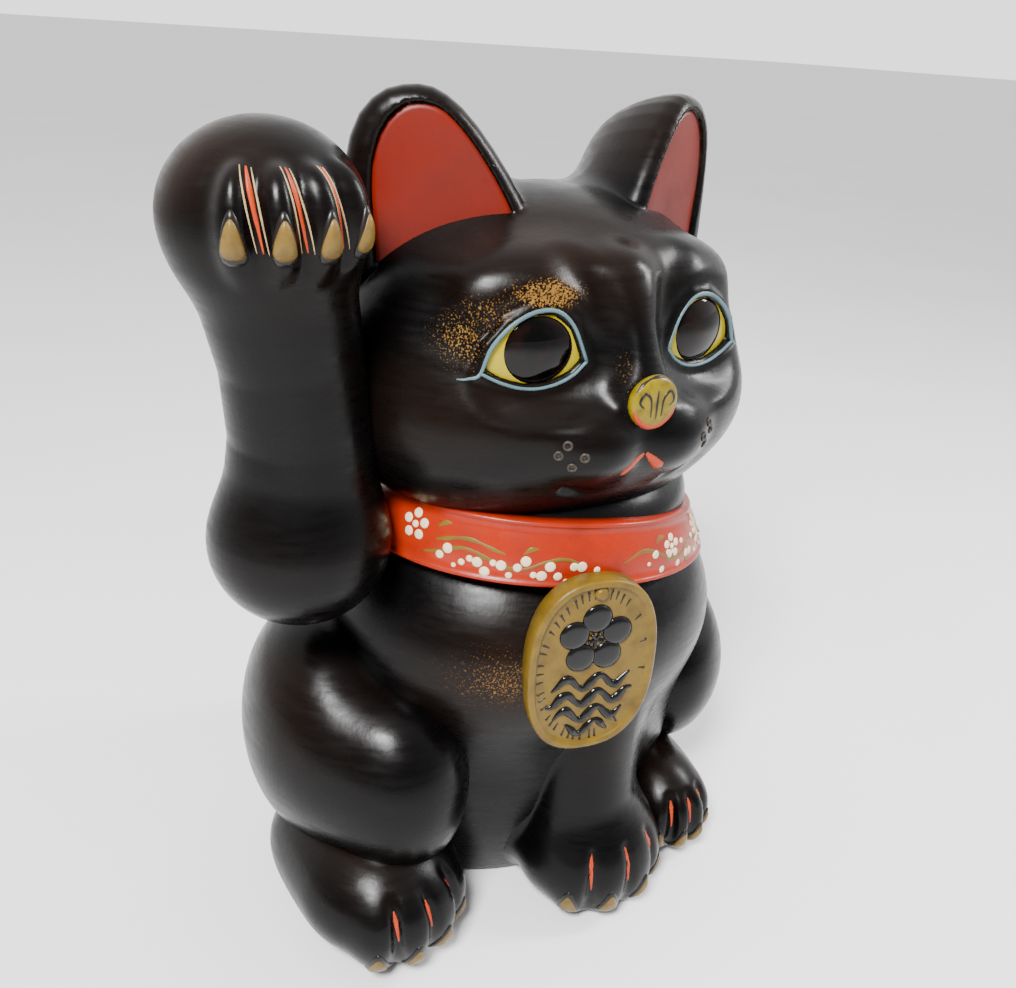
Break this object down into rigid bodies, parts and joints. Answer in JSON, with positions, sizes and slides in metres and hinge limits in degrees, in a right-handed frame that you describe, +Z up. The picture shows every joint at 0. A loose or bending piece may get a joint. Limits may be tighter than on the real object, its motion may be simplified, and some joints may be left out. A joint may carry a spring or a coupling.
{
  "type": "beckoning cat figurine",
  "caption": "Seated black-lacquered cat figure of hollow clay with its right paw raised, a red collar, a hanging oval coin, domed glass eyes and red ears.",
  "frame": {"origin": "on the ground, under the middle of the torso's foot", "axes": "+Z up, the cat faces -Y, its raised right arm is on the -X side"},
  "size_m": [0.296, 0.21, 0.371],
  "materials": {
    "black_lacquer": "fired clay under worn brown-black lacquer, glossy",
    "ear_lacquer": "black lacquered clay with a brick-red painted panel",
    "bare_clay": "bare fired clay, matt",
    "collar_red": "orange-red painted clay with cream dots and olive-gold strokes",
    "old_gold": "old gold painted clay, hatched field",
    "emblem_black": "glossy black lacquer relief",
    "coin_stud": "old gold painted clay",
    "eye_glass": "dark glass dome, polished",
    "eye_yellow": "mustard-yellow gloss paint",
    "lid_blue": "pale blue-grey raised paint",
    "eye_putty": "dry white putty",
    "nose_yellow": "mustard-yellow gloss paint",
    "socket_black": "dark painted clay",
    "claw_gold": "ochre-gold paint"
  },
  "bodies": {
    "root": {"torso_front_shell": "black_lacquer", "torso_back_shell": "black_lacquer", "head_front_shell": "black_lacquer", "head_back_shell": "black_lacquer", "raised_arm_front_shell": "black_lacquer", "raised_arm_back_shell": "black_lacquer", "haunch_right": "black_lacquer", "haunch_left": "black_lacquer", "hind_paw_right": "black_lacquer", "hind_paw_left": "black_lacquer", "foreleg_left": "black_lacquer", "tail_bob": "black_lacquer", "ear_right": "ear_lacquer", "ear_left": "ear_lacquer", "base_plate": "bare_clay", "collar_band": "collar_red", "koban_plate": "old_gold", "koban_emblem": "emblem_black", "koban_stud": "coin_stud", "eye_glass_right": "eye_glass", "eye_glass_left": "eye_glass", "eye_panel_right": "eye_yellow", "eye_panel_left": "eye_yellow", "eyelid_rim_right": "lid_blue", "eyelid_rim_left": "lid_blue", "eye_bedding_right": "eye_putty", "eye_bedding_left": "eye_putty", "nose_pad": "nose_yellow", "whisker_sockets_right": "socket_black", "whisker_sockets_left": "socket_black", "claws_raised_paw": "claw_gold", "claws_foreleg": "claw_gold", "claws_hind_right": "claw_gold", "claws_hind_left": "claw_gold"}
  },
  "joints": []
}
